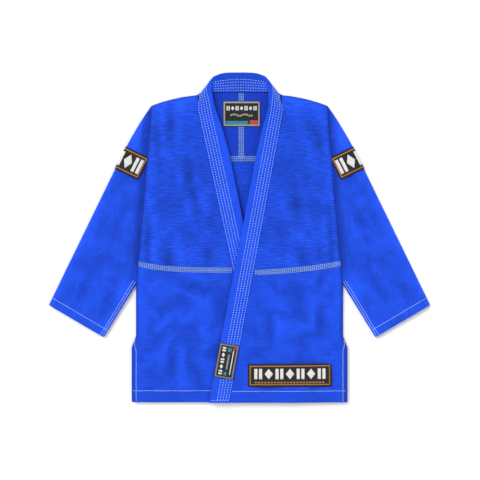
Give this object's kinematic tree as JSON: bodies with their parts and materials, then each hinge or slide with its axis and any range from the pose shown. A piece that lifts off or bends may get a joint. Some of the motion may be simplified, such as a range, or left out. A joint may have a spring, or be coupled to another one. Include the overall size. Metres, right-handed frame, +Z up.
{
  "type": "martial arts jacket",
  "caption": "Thick woven martial arts jacket laid flat, left front lapped over right, with a cored collar band, side vents and open sleeves.",
  "frame": {"origin": "on the table under the middle of the jacket's outline", "axes": "+X towards the wearer's left, +Y towards the collar, +Z up from the table"},
  "size_m": [1.002, 0.868, 0.0343],
  "materials": {
    "jacket_cloth": "pearl weave cotton",
    "collar_cloth": "twill cotton",
    "collar_core": "foam rubber",
    "facing": "plain weave cotton",
    "seam_tape": "stitched tape",
    "label": "woven satin",
    "patch": "embroidered twill"
  },
  "bodies": {
    "body": {"back_panel": "jacket_cloth", "back_skirt": "jacket_cloth", "back_waist_seam": "seam_tape", "back_hem": "facing", "centre_back_seam": "seam_tape", "back_yoke_left": "facing", "back_yoke_right": "facing", "yoke_seam_left": "seam_tape", "yoke_seam_right": "seam_tape", "neck_label": "label", "front_shoulder_left": "jacket_cloth", "front_shoulder_right": "jacket_cloth", "side_gore_left": "jacket_cloth", "side_gore_right": "jacket_cloth", "underarm_gusset_left": "jacket_cloth", "underarm_gusset_right": "jacket_cloth", "vent_patch_left": "facing", "vent_patch_right": "facing", "collar_shell": "collar_cloth", "collar_core": "collar_core"},
    "left_sleeve_body": {"left_sleeve": "jacket_cloth", "left_cuff_facing": "facing", "left_sleeve_patch": "patch", "left_sleeve_seam": "seam_tape"},
    "right_sleeve_body": {"right_sleeve": "jacket_cloth", "right_cuff_facing": "facing", "right_sleeve_patch": "patch", "right_sleeve_seam": "seam_tape"},
    "left_front_body": {"left_front_panel": "jacket_cloth", "left_front_skirt": "jacket_cloth", "left_waist_seam": "seam_tape", "left_front_hem": "facing", "left_lapel_shell": "collar_cloth", "left_lapel_core": "collar_core", "skirt_patch": "patch", "lapel_label": "label"},
    "right_front_body": {"right_front_panel": "jacket_cloth", "right_front_skirt": "jacket_cloth", "right_waist_seam": "seam_tape", "right_front_hem": "facing", "right_lapel_shell": "collar_cloth", "right_lapel_core": "collar_core"}
  },
  "joints": [
    {"name": "left_front_open", "type": "hinge", "parent": "body", "child": "left_front_body", "pos_m": [0.115, 0.372, 0.019], "axis": [-0.2404, 0.9707, 0], "range_deg": [0, 120]},
    {"name": "right_front_open", "type": "hinge", "parent": "body", "child": "right_front_body", "pos_m": [-0.115, 0.372, 0.019], "axis": [-0.2404, -0.9707, 0], "range_deg": [0, 60]},
    {"name": "left_sleeve_fold", "type": "hinge", "parent": "body", "child": "left_sleeve_body", "pos_m": [0.2325, 0.345, 0.019], "axis": [0.0855, -0.9963, 0], "range_deg": [0, 55]},
    {"name": "right_sleeve_fold", "type": "hinge", "parent": "body", "child": "right_sleeve_body", "pos_m": [-0.2325, 0.345, 0.019], "axis": [0.0855, 0.9963, 0], "range_deg": [0, 55]}
  ],
  "couplings": [
    {"joint": "right_front_open", "follows": "left_front_open", "ratio": 0.5}
  ]
}
